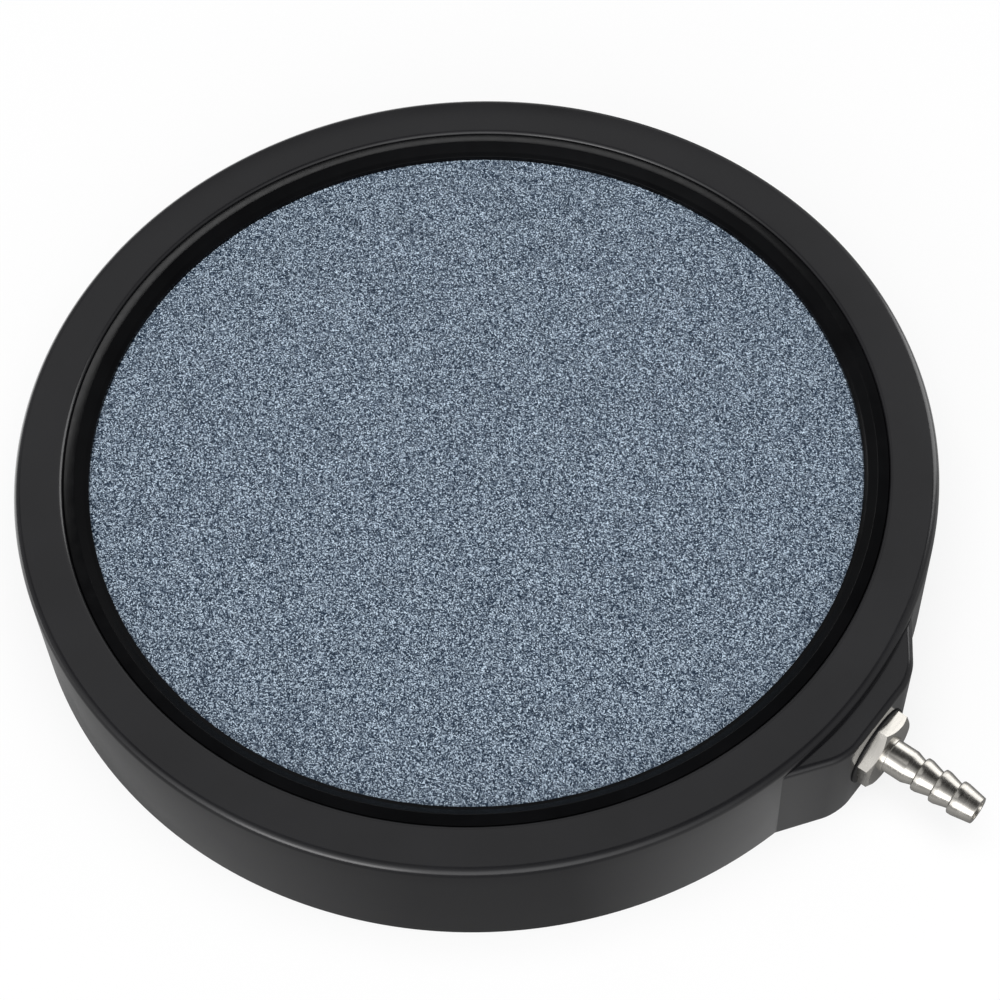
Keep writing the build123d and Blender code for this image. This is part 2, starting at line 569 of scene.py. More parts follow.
@dataclass(frozen=True)
class BondedGrit:
    """Blue-grey mineral grit, sintered into a plate: every grain has its own tone and its own tilt.

    Attributes:
        grain: grains per metre.
        tilt: how far a grain's face leans.
        roughness: middle roughness of a grain's face.
        clouds: patches of darker and lighter grit per metre.
        tones: shares of the grains and their linear colours, from the darkest to the palest.
    """

    grain: float = 4500.0
    tilt: float = 0.9
    roughness: float = 0.42
    clouds: float = 160.0
    tones: tuple[tuple[float, Colour], ...] = (
        (0.0, (0.0041, 0.0155, 0.035)),
        (0.33, (0.0145, 0.032, 0.060)),
        (0.70, (0.197, 0.249, 0.316)),
        (1.0, (0.635, 0.765, 0.890)),
    )

    def material(self) -> bpy.types.Material:
        """Builds the material.

        Returns:
            The material.
        """
        deck = Paint("blue_grey_grit")
        cell = deck.add("TexVoronoi", Vector=deck.place, Scale=self.grain, Randomness=1.0)
        parts = deck.add("SeparateColor", Color=cell.outputs["Color"])
        tone = deck.ramp(parts.outputs["Red"], list(self.tones))
        cloud = deck.mottle(deck.noise(self.clouds), (1.0, 1.0, 1.0), dark=0.94, light=1.06)
        shade = deck.add("MixRGB", blend_type="MULTIPLY", Fac=1.0, Color1=tone, Color2=cloud)
        lean = deck.work("VectorMath", "SUBTRACT", cell.outputs["Color"], (0.5, 0.5, 0.5))
        scaled = deck.add("VectorMath", operation="SCALE", Vector=lean.outputs[0], Scale=self.tilt)
        level = deck.add("NewGeometry").outputs["Normal"]
        leaning = deck.work("VectorMath", "ADD", scaled.outputs[0], level)
        facing = deck.work("VectorMath", "NORMALIZE", leaning.outputs[0])
        deck.set(
            Base_Color=shade.outputs["Color"],
            Roughness=deck.spread(parts.outputs["Green"], self.roughness - 0.18, self.roughness + 0.25),
            Normal=facing.outputs[0],
            Specular_IOR_Level=0.5,
        )
        return deck.material


@dataclass(frozen=True)
class NickelPlate:
    """Satin nickel on machined brass, with fine turning marks round the inlet's axis.

    Attributes:
        colour: linear colour of the plate.
        roughness: middle roughness.
        grooves: turning marks per metre along the axis.
        stretch: share of that number that the marks have across the axis.
        clouds: patches of darker and lighter tone per metre.
    """

    colour: Colour = (0.56, 0.54, 0.50)
    roughness: float = 0.23
    grooves: float = 2400.0
    stretch: float = 0.06
    clouds: float = 420.0

    def material(self) -> bpy.types.Material:
        """Builds the material.

        Returns:
            The material.
        """
        deck = Paint("satin_nickel")
        stretched = deck.add(
            "Mapping", vector_type="POINT", Vector=deck.place, Scale=(1.0, self.stretch, self.stretch)
        )
        marks = deck.noise(self.grooves, detail=3.0, where=stretched.outputs["Vector"])
        cloud = deck.noise(self.clouds)
        patchy = deck.spread(cloud, self.roughness - 0.03, self.roughness + 0.04, *NOISE_BAND)
        grooved = deck.spread(marks, -0.03, 0.05, *NOISE_BAND)
        deck.set(
            Base_Color=deck.mottle(cloud, self.colour, dark=0.93, light=1.05),
            Roughness=deck.work("Math", "ADD", patchy, grooved).outputs[0],
            Normal=deck.bump(marks, strength=0.10, distance=0.00003),
            Metallic=1.0,
            Anisotropic=0.25,
        )
        return deck.material


@dataclass(frozen=True)
class SoftRubber:
    """Matt black rubber.

    Attributes:
        colour: linear base colour.
        roughness: middle roughness.
        specks: grains per metre.
    """

    colour: Colour = (0.010, 0.010, 0.0105)
    roughness: float = 0.62
    specks: float = 1500.0

    def material(self) -> bpy.types.Material:
        """Builds the material.

        Returns:
            The material.
        """
        deck = Paint("matt_black_rubber")
        speck = deck.noise(self.specks)
        deck.set(
            Base_Color=deck.mottle(speck, self.colour, dark=0.75, light=1.35),
            Roughness=deck.spread(speck, self.roughness - 0.06, self.roughness + 0.08, *NOISE_BAND),
            Normal=deck.bump(speck, strength=0.2, distance=0.00005),
            Specular_IOR_Level=0.4,
        )
        return deck.material


# ------------------------------------------------------------------------------------------------
# The diffuser
# ------------------------------------------------------------------------------------------------


@dataclass
class Housing:
    """Moulded shell: flat rim, outer wall, well, ledge, air chamber and the hollow underside with its ribs.

    Attributes, in millimetres and degrees:
        rim_radius: outer radius at the rim.
        foot_radius: outer radius at the foot.
        height: height of the rim.
        boss_face: distance from the axis to the boss's flat front.
        inlet_height: height of the inlet's axis.
        ledge_height: height of the ledge that carries the porous disc.
        wall: thickness of every wall.
        rim_width: width of the flat rim.
        rim_round, rim_steps: rounding of the rim's outer edge, and its facets.
        well_round, well_steps: rounding of the rim's inner edge, and its facets.
        ledge_width: width of the ledge.
        boss_half: half width of the boss's front, before its corners are rounded.
        cheek_deg: how far the boss's cheeks slant.
        boss_corner, boss_steps: rounding of the boss's upright corners, and its facets.
        boss_round, boss_round_steps: rounding of the boss's top edge, and its facets.
        boss_drop: how far the boss's top lies below the rim.
        duct_radius, duct_steps: outer radius of the inlet duct, and its facets.
        duct_setback: how far the duct stays outside the chamber.
        bore_radius, bore_depth: the bore that takes the fitting's tail.
        passage_radius: the narrower bore from there inwards.
        rib_count, rib_thickness: the radial ribs.
        rib_setback: how far the ribs end above the floor.
        rib_lap: how far the web under the duct overlaps the radial rib.
        posts, post_radius, post_steps: the posts under the porous disc.
        post_share: where they stand, as a share of the chamber's radius.
        post_flare, post_root: how far a post's root widens, and how high and how round it is.
        edge_round, foot_round, step_round, inner_round: roundings of smaller edges.
        steps: facets round the shell.
        gap_steps: facets to each side of the inlet over which the outer wall is open behind the boss.
    """

    rim_radius: float
    foot_radius: float
    height: float
    boss_face: float
    inlet_height: float
    ledge_height: float
    wall: float = 3.0
    rim_width: float = 10.65
    rim_round: float = 2.0
    rim_steps: int = 12
    well_round: float = 1.2
    well_steps: int = 6
    ledge_width: float = 7.75
    boss_half: float = 11.9
    cheek_deg: float = 34.5
    boss_corner: float = 12.0
    boss_steps: int = 12
    boss_round: float = 1.5
    boss_round_steps: int = 8
    boss_drop: float = 2.8
    duct_radius: float = 8.0
    duct_steps: int = 72
    duct_setback: float = 0.3
    bore_radius: float = 4.9
    bore_depth: float = 10.6
    passage_radius: float = 2.4
    rib_count: int = 12
    rib_thickness: float = 2.0
    rib_setback: float = 1.0
    rib_lap: float = 1.0
    posts: int = 6
    post_radius: float = 3.8
    post_steps: int = 40
    post_share: float = 0.55
    post_flare: float = 0.4
    post_root: float = 1.0
    edge_round: float = 0.3
    foot_round: float = 0.4
    step_round: float = 0.6
    inner_round: float = 0.8
    steps: int = 256
    gap_steps: int = 9

    @property
    def well_radius(self) -> float:
        """Radius of the well that holds the porous disc."""
        return self.rim_radius - self.rim_width

    @property
    def chamber_radius(self) -> float:
        """Radius of the air chamber under the porous disc."""
        return self.well_radius - self.ledge_width

    @property
    def boss_top(self) -> float:
        """Height of the boss."""
        return self.height - self.boss_drop

    @property
    def boss_back(self) -> float:
        """Radius inside the outer wall at which the boss ends."""
        return self.rim_radius - self.wall / 2

    def build(self, material: bpy.types.Material) -> None:
        """Builds every piece of the housing.

        Args:
            material: what it is moulded of.
        """
        Part("housing_shell", "housing").finish(self.shell(), material)
        Part("housing_boss", "housing").finish(self.boss(), material)
        Part("housing_ribs", "housing").finish(self.ribs(), material)
        Part("housing_duct", "housing").finish(self.duct(), material)
        Part("housing_posts", "housing").finish(self.chamber_posts(), material)

    def shell(self) -> Shape:
        """Turns the shell's section and opens its outer wall behind the boss.

        Returns:
            A closed solid.
        """
        wall = self.wall
        inner_foot = self.foot_radius - wall
        sill = self.boss_top - wall
        share = sill / self.height
        flare = self.foot_radius - self.rim_radius
        corners = [
            Corner(0, 0),
            Corner(self.chamber_radius + wall, 0, self.foot_round),
            Corner(self.chamber_radius + wall, self.ledge_height - wall, self.inner_round),
            Corner(self.well_radius + wall, self.ledge_height - wall, self.step_round),
            Corner(self.well_radius + wall, self.height - wall, self.inner_round),
            Corner(self.rim_radius - wall, self.height - wall, self.inner_round),
            Corner(inner_foot - flare * share, sill),
            Corner(inner_foot, 0, self.edge_round),
            Corner(self.foot_radius, 0, self.foot_round),
            Corner(self.foot_radius - flare * share, sill),
            Corner(self.rim_radius, self.height, self.rim_round, self.rim_steps),
            Corner(self.well_radius, self.height, self.well_round, self.well_steps),
            Corner(self.well_radius, self.ledge_height, self.edge_round),
            Corner(self.chamber_radius, self.ledge_height, self.edge_round),
            Corner(self.chamber_radius, wall, self.inner_round),
            Corner(0, wall),
        ]
        bm = turned(corners, self.steps)
        half = self.gap_steps * FULL_TURN / self.steps
        behind_boss = []
        for face in bm.faces:
            middle = face.calc_center_median()
            in_wall = middle.xy.length > (self.rim_radius - wall - ARC_SLACK) * MM
            if in_wall and middle.z < sill * MM and abs(math.atan2(middle.y, middle.x)) < half:
                behind_boss.append(face)
        bmesh.ops.delete(bm, geom=behind_boss, context="FACES")
        open_edges = [e for e in bm.edges if e.is_boundary]
        arcs = [e for e in open_edges if all(abs(v.co.z - sill * MM) < SLACK * MM for v in e.verts)]
        bmesh.ops.bridge_loops(bm, edges=arcs)
        bmesh.ops.holes_fill(bm, edges=[e for e in bm.edges if e.is_boundary], sides=0)
        bmesh.ops.recalc_face_normals(bm, faces=bm.faces[:])
        return bm

    def boss_plan(self) -> Shape:
        """Draws the boss from above as one face: back arc, slanting cheeks, round corners, flat front.

        Returns:
            A flat mesh.
        """
        slant = math.radians(self.cheek_deg)
        run = self.rim_width / math.sin(slant)
        back = Vector((self.boss_face - self.rim_width, self.boss_half + run * math.cos(slant), 0)) * MM
        swing = math.atan2(back.y, back.x)
        bm = bmesh.new()
        start = bm.verts.new(Matrix.Rotation(-swing, 3, "Z") @ Vector((self.boss_back * MM, 0, 0)))
        bmesh.ops.spin(
            bm, geom=[start], cent=(0, 0, 0), axis=UP, dvec=(0, 0, 0),
            angle=2 * swing, steps=2 * self.boss_steps, use_merge=False,
        )
        ends = sorted((v for v in bm.verts if len(v.link_edges) == 1), key=lambda v: v.co.y)
        front = [bm.verts.new(Vector((self.boss_face, side * self.boss_half, 0)) * MM) for side in (-1, 1)]
        for pair in ((ends[0], front[0]), (front[0], front[1]), (front[1], ends[1])):
            bm.edges.new(pair)
        bmesh.ops.contextual_create(bm, geom=bm.edges[:])
        reach = self.boss_corner * math.tan(slant / 2) * MM
        round_off(bm, front, reach, self.boss_steps, Rounded.POINTS)
        return bm

    def boss(self) -> Shape:
        """Raises the hollow inlet boss from its plan, open below and behind, and rounds its top edge.

        Returns:
            A closed solid.
        """
        bm = self.boss_plan()
        thicken(bm, UP * self.boss_top * MM)
        back = (self.boss_back + ARC_SLACK) * MM
        open_sides = []
        for face in bm.faces:
            in_back = abs(face.normal.z) < UPRIGHT and all(v.co.xy.length < back for v in face.verts)
            if in_back or face.calc_center_median().z < SLACK * MM:
                open_sides.append(face)
        bmesh.ops.delete(bm, geom=open_sides, context="FACES")
        bmesh.ops.recalc_face_normals(bm, faces=bm.faces[:])
        top = max(bm.faces, key=lambda face: face.calc_center_median().z)
        if top.normal.z < 0:
            bmesh.ops.reverse_faces(bm, faces=bm.faces[:])
        bmesh.ops.solidify(bm, geom=bm.faces[:], thickness=self.wall * MM)
        crest = (self.boss_top - SLACK) * MM
        front = (self.boss_back - ARC_SLACK) * MM
        edges = [
            edge
            for edge in bm.edges
            if all(v.co.z > crest and v.co.xy.length > front for v in edge.verts)
            and len(edge.link_faces) == 2
            and edge.calc_face_angle() > SHARP_TURN
        ]
        round_off(bm, edges, self.boss_round * MM, self.boss_round_steps)
        bmesh.ops.recalc_face_normals(bm, faces=bm.faces[:])
        return bm

    def ribs(self) -> Shape:
        """Builds the radial ribs of the hollow underside, and the web that goes on under the duct.

        Returns:
            Closed solids in one mesh.
        """
        inner = self.chamber_radius + self.wall / 2
        outer = self.rim_radius - self.wall / 2
        step = self.well_radius + self.wall / 2
        low = self.ledge_height - self.wall / 2
        high = self.height - self.wall / 2
        foot = self.rib_setback
        bm = self.web([(inner, foot), (outer, foot), (outer, high), (step, high), (step, low), (inner, low)])
        repeat(bm, self.rib_count)
        crown = self.boss_top - self.wall / 2
        reach = self.boss_face - self.wall / 2
        start = outer - self.rib_lap
        return join(bm, self.web([(start, foot), (reach, foot), (reach, crown), (start, crown)]))

    def web(self, outline: list[tuple[float, float]]) -> Shape:
        """Builds one upright web across the middle plane and rounds its lower edges.

        Args:
            outline: its corners' distances from the axis and heights.

        Returns:
            A closed solid.
        """
        bm = bmesh.new()
        side = -self.rib_thickness / 2 * MM
        bm.faces.new([bm.verts.new((out * MM, side, up * MM)) for out, up in outline])
        thicken(bm, Vector((0, self.rib_thickness * MM, 0)))
        bmesh.ops.recalc_face_normals(bm, faces=bm.faces[:])
        low = (self.rib_setback + SLACK) * MM
        feet = [edge for edge in bm.edges if all(v.co.z < low for v in edge.verts)]
        long_edges = [e for e in feet if abs(e.verts[0].co.x - e.verts[1].co.x) > SLACK * MM]
        round_off(bm, long_edges, self.edge_round * MM, steps=3)
        return bm

    def duct(self) -> Shape:
        """Builds the inlet duct from the boss face to the air chamber, with its stepped bore.

        Returns:
            A closed solid.
        """
        start = self.chamber_radius + self.duct_setback
        end = self.boss_face - self.wall / 2
        step = self.boss_face - self.bore_depth
        corners = [
            Corner(self.passage_radius, start),
            Corner(self.duct_radius, start),
            Corner(self.duct_radius, end),
            Corner(self.bore_radius, end),
            Corner(self.bore_radius, step, self.edge_round),
            Corner(self.passage_radius, step, rounding=0.2),
        ]
        return place(turned(corners, self.duct_steps), Z_TO_INLET, shift(z=self.inlet_height))

    def chamber_posts(self) -> Shape:
        """Builds the ring of posts that carry the middle of the porous disc, and one more at its centre.

        Returns:
            Closed solids in one mesh.
        """
        corners = [
            Corner(0, self.wall / 2),
            Corner(self.post_radius + self.post_flare, self.wall / 2),
            Corner(self.post_radius, self.wall + self.post_root, self.post_root),
            Corner(self.post_radius, self.ledge_height, self.edge_round),
            Corner(0, self.ledge_height),
        ]
        centre = turned(corners, self.post_steps)
        out = shift(x=self.post_share * self.chamber_radius)
        bm = place(centre.copy(), out, Matrix.Rotation(math.pi / self.posts, 4, "Z"))
        repeat(bm, self.posts)
        return join(bm, centre)


@dataclass
class PorousDisc:
    """Plate of bonded grit with a grainy top.

    Attributes, in millimetres:
        radius: radius of the plate.
        bottom: height of its underside.
        top: height of its top.
        pitch: width of a facet of the top.
        relief: how deep the grains lie.
        jitter: how far a grain strays, as a share of the pitch.
        margin: how near the edge grains may lie, as a share of the pitch.
        edge: bevel of the lower edge.
        seed: start of the random draws.
    """

    radius: float
    bottom: float
    top: float
    pitch: float = 0.56
    relief: float = 0.08
    jitter: float = 0.3
    margin: float = 0.3
    edge: float = 0.4
    seed: int = 41

    def build(self, material: bpy.types.Material) -> None:
        """Builds the plate."""
        Part("porous_disc_plate", "porous_disc", flat=True).finish(self.plate(), material)

    def plate(self) -> Shape:
        """Builds the grainy top from a fine grid, rounds it off and gives it its sides and underside.

        Returns:
            A closed solid.
        """
        cells = int(2 * self.radius / self.pitch)
        bm = bmesh.new()
        bmesh.ops.create_grid(bm, x_segments=cells, y_segments=cells, size=self.radius * MM)
        inside = (self.radius - self.margin * self.pitch) * MM
        bmesh.ops.delete(bm, geom=[v for v in bm.verts if v.co.xy.length > inside], context="VERTS")
        stray = [v for v in bm.verts if not v.link_faces]
        bmesh.ops.delete(bm, geom=stray, context="VERTS")
        dice = random.Random(self.seed)
        for vert in bm.verts:
            if vert.is_boundary:
                vert.co.xy = vert.co.xy.normalized() * self.radius * MM
                vert.co.z = (self.top - self.relief) * MM
            else:
                vert.co.x += dice.uniform(-self.jitter, self.jitter) * self.pitch * MM
                vert.co.y += dice.uniform(-self.jitter, self.jitter) * self.pitch * MM
                vert.co.z = (self.top - self.relief * dice.random()) * MM
        self.skirt(bm, self.bottom + self.edge, self.radius)
        rim = self.skirt(bm, self.bottom, self.radius - self.edge)
        bmesh.ops.edgeloop_fill(bm, edges=rim)
        bmesh.ops.recalc_face_normals(bm, faces=bm.faces[:])
        return bm

    def skirt(self, bm: Shape, height: float, radius: float) -> list[Edge]:
        """Draws the open rim down to a height and a radius.

        Args:
            bm: the plate.
            height: height to reach.
            radius: radius to reach.

        Returns:
            The new rim's edges.
        """
        rim = [edge for edge in bm.edges if edge.is_boundary]
        geom = bmesh.ops.extrude_edge_only(bm, edges=rim)["geom"]
        for vert in (g for g in geom if isinstance(g, Point)):
            vert.co.xy = vert.co.xy.normalized() * radius * MM
            vert.co.z = height * MM
        return [g for g in geom if isinstance(g, Edge) and g.is_boundary]


@dataclass
class SealingRing:
    """Rolled ring between the rim and the porous disc.

    Attributes, in millimetres:
        radius: outer radius.
        bottom: height of its underside.
        top: height of its outer edge.
        plate_top: height of the porous disc's top.
        wall: thickness of the sleeve round the disc.
        lap: how far the lip reaches over the disc.
        lip: height of the lip's edge above the disc.
        shoulder_out, shoulder_rise: where the shoulder lies, inwards and upwards.
        shoulder_drop: how far the outer edge lies below the top.
        crest_out: how far inwards the crest ends.
        waist_out, waist: where the slope turns into the lip, inwards and above the disc.
        sink: how far the lip presses into the grains.
        inner_round, foot_round, seam_round: roundings of the sleeve's edges.
        shoulder_round, crest_round, waist_round, lip_round: roundings of the face.
        steps: facets around.
    """

    radius: float
    bottom: float
    top: float
    plate_top: float
    wall: float = 3.4
    lap: float = 1.75
    lip: float = 1.2
    shoulder_out: float = 1.2
    shoulder_rise: float = 0.10
    shoulder_drop: float = 0.15
    crest_out: float = 2.4
    waist_out: float = 4.2
    waist: float = 1.7
    sink: float = 0.05
    inner_round: float = 0.2
    foot_round: float = 0.3
    seam_round: float = 0.08
    shoulder_round: float = 10.0
    crest_round: float = 0.15
    waist_round: float = 1.5
    lip_round: float = 0.25
    steps: int = 256

    def build(self, material: bpy.types.Material) -> None:
        """Builds the ring."""
        Part("sealing_ring_roll", "sealing_ring").finish(self.ring(), material)

    def ring(self) -> Shape:
        """Turns the ring's section: a sleeve, a broad shoulder and a slope down to the lip on the disc.

        Returns:
            A closed solid.
        """
        inner = self.radius - self.wall
        lip = inner - self.lap
        high = self.top + self.shoulder_rise
        corners = [
            Corner(inner, self.bottom, self.inner_round),
            Corner(self.radius, self.bottom, self.foot_round),
            Corner(self.radius, self.top - self.shoulder_drop, self.seam_round),
            Corner(self.radius - self.shoulder_out, high, self.shoulder_round, steps=20),
            Corner(self.radius - self.crest_out, high, self.crest_round),
            Corner(self.radius - self.waist_out, self.plate_top + self.waist, self.waist_round, steps=8),
            Corner(lip, self.plate_top + self.lip, self.lip_round, steps=5),
            Corner(lip, self.plate_top - self.sink),
            Corner(inner, self.plate_top - self.sink),
        ]
        return turned(corners, self.steps)


@dataclass
class HoseBarb:
    """Plated fitting: tail, chamfered hexagon, collar, stem and three barbs, and the washer behind it.

    Attributes, in millimetres and degrees:
        face: distance from the housing's axis to the boss's front.
        height: height of the fitting's axis.
        tail_radius, tail_length, tail_round: the tail in the boss.
        washer, washer_radius, washer_gap: thickness and radius of the washer, and its play on the tail.
        hex_flats, hex_thickness: the hexagon across its flats, and along the axis.
        hex_turn_deg: how far it is turned.
        hex_face, hex_cut: radius of its round front, and how much its corners are turned off.
        hex_cone_steps: facets of that cut.
        collar_radius, collar_length: the collar before the hexagon.
        sink: how far hidden ends reach past the face that hides them.
        stem_radius, stem_length, stem_round: the plain stem.
        taper, neck_radius: length of the stem's taper, and the radius behind every barb.
        barb_radius, barbs, pitch, land: the barbs, and the flat on each.
        barb_edge, land_round: roundings before and after a barb's flat.
        tip_length, tip_radius, tip_edge: the last barb's end.
        bore, bore_round: the through bore, and the rounding of its inner end.
        mouth_round: rounding of the bore's mouth and of the collar.
        root_round: rounding at the foot of the stem and of every barb.
        steps, edge_steps: facets around, and across a barb's edges.
    """

    face: float
    height: float
    tail_radius: float = 4.8
    tail_length: float = 8.6
    tail_round: float = 0.6
    washer: float = 0.4
    washer_radius: float = 9.0
    washer_gap: float = 0.1
    hex_flats: float = 15.0
    hex_thickness: float = 2.85
    hex_turn_deg: float = 8.0
    hex_face: float = 7.55
    hex_cut: float = 0.75
    hex_cone_steps: int = 192
    collar_radius: float = 4.05
    collar_length: float = 0.6
    sink: float = 1.0
    stem_radius: float = 3.7
    stem_length: float = 4.4
    stem_round: float = 0.5
    taper: float = 2.4
    neck_radius: float = 2.93
    barb_radius: float = 3.8
    barbs: int = 3
    pitch: float = 4.35
    land: float = 0.8
    barb_edge: float = 0.35
    land_round: float = 0.4
    tip_length: float = 4.3
    tip_radius: float = 3.05
    tip_edge: float = 0.2
    bore: float = 2.1
    bore_round: float = 0.2
    mouth_round: float = 0.12
    root_round: float = 0.08
    steps: int = 96
    edge_steps: int = 5

    @property
    def front(self) -> float:
        """Distance from the boss's front to the hexagon's."""
        return self.washer + self.hex_thickness

    def build(self, metal: bpy.types.Material, rubber: bpy.types.Material) -> None:
        """Builds the fitting and the washer behind it.

        Args:
            metal: what the fitting is made of.
            rubber: what the washer is made of.
        """
        Part("hose_barb_body", "hose_barb").finish(self.body(), metal)
        Part("hose_barb_hexagon", "hose_barb", sharp_deg=18.0).finish(self.hexagon(), metal)
        Part("fitting_washer_ring", "fitting_washer").finish(self.washer_ring(), rubber)

    def at_inlet(self, bm: Shape) -> Shape:
        """Lays a piece built along Z from the boss face outwards at the inlet."""
        return place(bm, Z_TO_INLET, shift(x=self.face, z=self.height))

    def body(self) -> Shape:
        """Turns the tail, collar, stem and barbs with their through bore.

        Returns:
            A closed solid.
        """
        stem = self.front + self.collar_length
        taper = stem + self.stem_length
        first = taper + self.taper
        corners = [
            Corner(self.bore, -self.tail_length, self.bore_round),
            Corner(self.tail_radius, -self.tail_length, self.tail_round),
            Corner(self.tail_radius, self.front - self.sink),
            Corner(self.collar_radius, self.front - self.sink),
            Corner(self.collar_radius, stem, self.mouth_round),
            Corner(self.stem_radius, stem, self.root_round),
            Corner(self.stem_radius, taper, self.stem_round),
        ]
        land = self.barb_edge + self.land
        for i in range(self.barbs):
            back = first + i * self.pitch
            corners += [
                Corner(self.neck_radius, back, self.root_round),
                Corner(self.barb_radius, back, self.barb_edge, self.edge_steps),
                Corner(self.barb_radius, back + land, self.land_round),
            ]
        tip = first + (self.barbs - 1) * self.pitch + land + self.tip_length
        corners += [
            Corner(self.tip_radius, tip, self.tip_edge, self.edge_steps),
            Corner(self.bore, tip, self.mouth_round),
        ]
        return self.at_inlet(turned(corners, self.steps))

    def hexagon(self) -> Shape:
        """Builds the hexagon and turns off its outer corners.

        Returns:
            A closed solid.
        """
        half_side = math.pi / 6
        corner = self.hex_flats / 2 / math.cos(half_side)
        bm = bmesh.new()
        size = {"radius1": corner * MM, "radius2": corner * MM, "depth": self.hex_thickness * MM}
        bmesh.ops.create_cone(bm, cap_ends=True, segments=6, **size)
        turn = Matrix.Rotation(math.radians(self.hex_turn_deg) - half_side, 4, "Z")
        place(bm, shift(z=self.washer + self.hex_thickness / 2), turn)
        slope = self.hex_cut / (corner - self.hex_face)
        reach = corner + self.hex_cut
        behind = self.washer - self.sink
        cone = [
            Corner(0, behind),
            Corner(reach, behind),
            Corner(reach, self.front - slope * (reach - self.hex_face)),
            Corner(self.hex_face, self.front),
            Corner(0, self.front),
        ]
        return self.at_inlet(overlap(bm, turned(cone, self.hex_cone_steps)))

    def washer_ring(self) -> Shape:
        """Turns the flat washer.

        Returns:
            A closed solid.
        """
        hole = self.tail_radius + self.washer_gap
        corners = [
            Corner(hole, 0),
            Corner(self.washer_radius, 0, rounding=0.1),
            Corner(self.washer_radius, self.washer, rounding=0.12),
            Corner(hole, self.washer),
        ]
        return self.at_inlet(turned(corners, self.steps))


# ------------------------------------------------------------------------------------------------
# The studio
# ------------------------------------------------------------------------------------------------


@dataclass(frozen=True)
class Softbox:
    """A flat soft lamp aimed at the object.

    Attributes:
        name: name of the lamp.
        side_deg: where it stands round the object, from the camera's side, to the right.
        rise_deg: how high it stands.
        distance: metres from the object.
        width: metres.
        height: metres.
        level: brightness of its face, where 1 is white paper in full light.
        glow: what it does.
        slots: the finishes that it lights, or none for everything.
    """

    name: str
    side_deg: float
    rise_deg: float
    distance: float
    width: float
    height: float
    level: float
    glow: Glow
    slots: tuple[str, ...] = ()

    def build(self, heading: float) -> None:
        """Hangs the lamp.

        Args:
            heading: the camera's heading round the object, in radians.
        """
        angle = heading + math.radians(self.side_deg)
        rise = math.radians(self.rise_deg)
        away = math.cos(rise)
        way = Vector((math.sin(angle) * away, -math.cos(angle) * away, math.sin(rise)))
        data = bpy.data.lights.new(self.name, "AREA")
        data.shape = "RECTANGLE"
        data.size = self.width
        data.size_y = self.height
        data.energy = self.level * math.pi * self.width * self.height
        lamp = bpy.data.objects.new(self.name, data)
        lamp.visible_glossy = self.glow is Glow.SHINE
        lamp.visible_diffuse = self.glow is Glow.FILL
        lamp.location = way * self.distance
        lamp.rotation_euler = way.to_track_quat("Z", "Y").to_euler()
        bpy.context.scene.collection.objects.link(lamp)
        if self.slots:
            lit = bpy.data.collections.new(self.name)
            for piece in bpy.context.scene.objects:
                if piece.get("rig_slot") in self.slots:
                    lit.objects.link(piece)
            lamp.light_linking.receiver_collection = lit


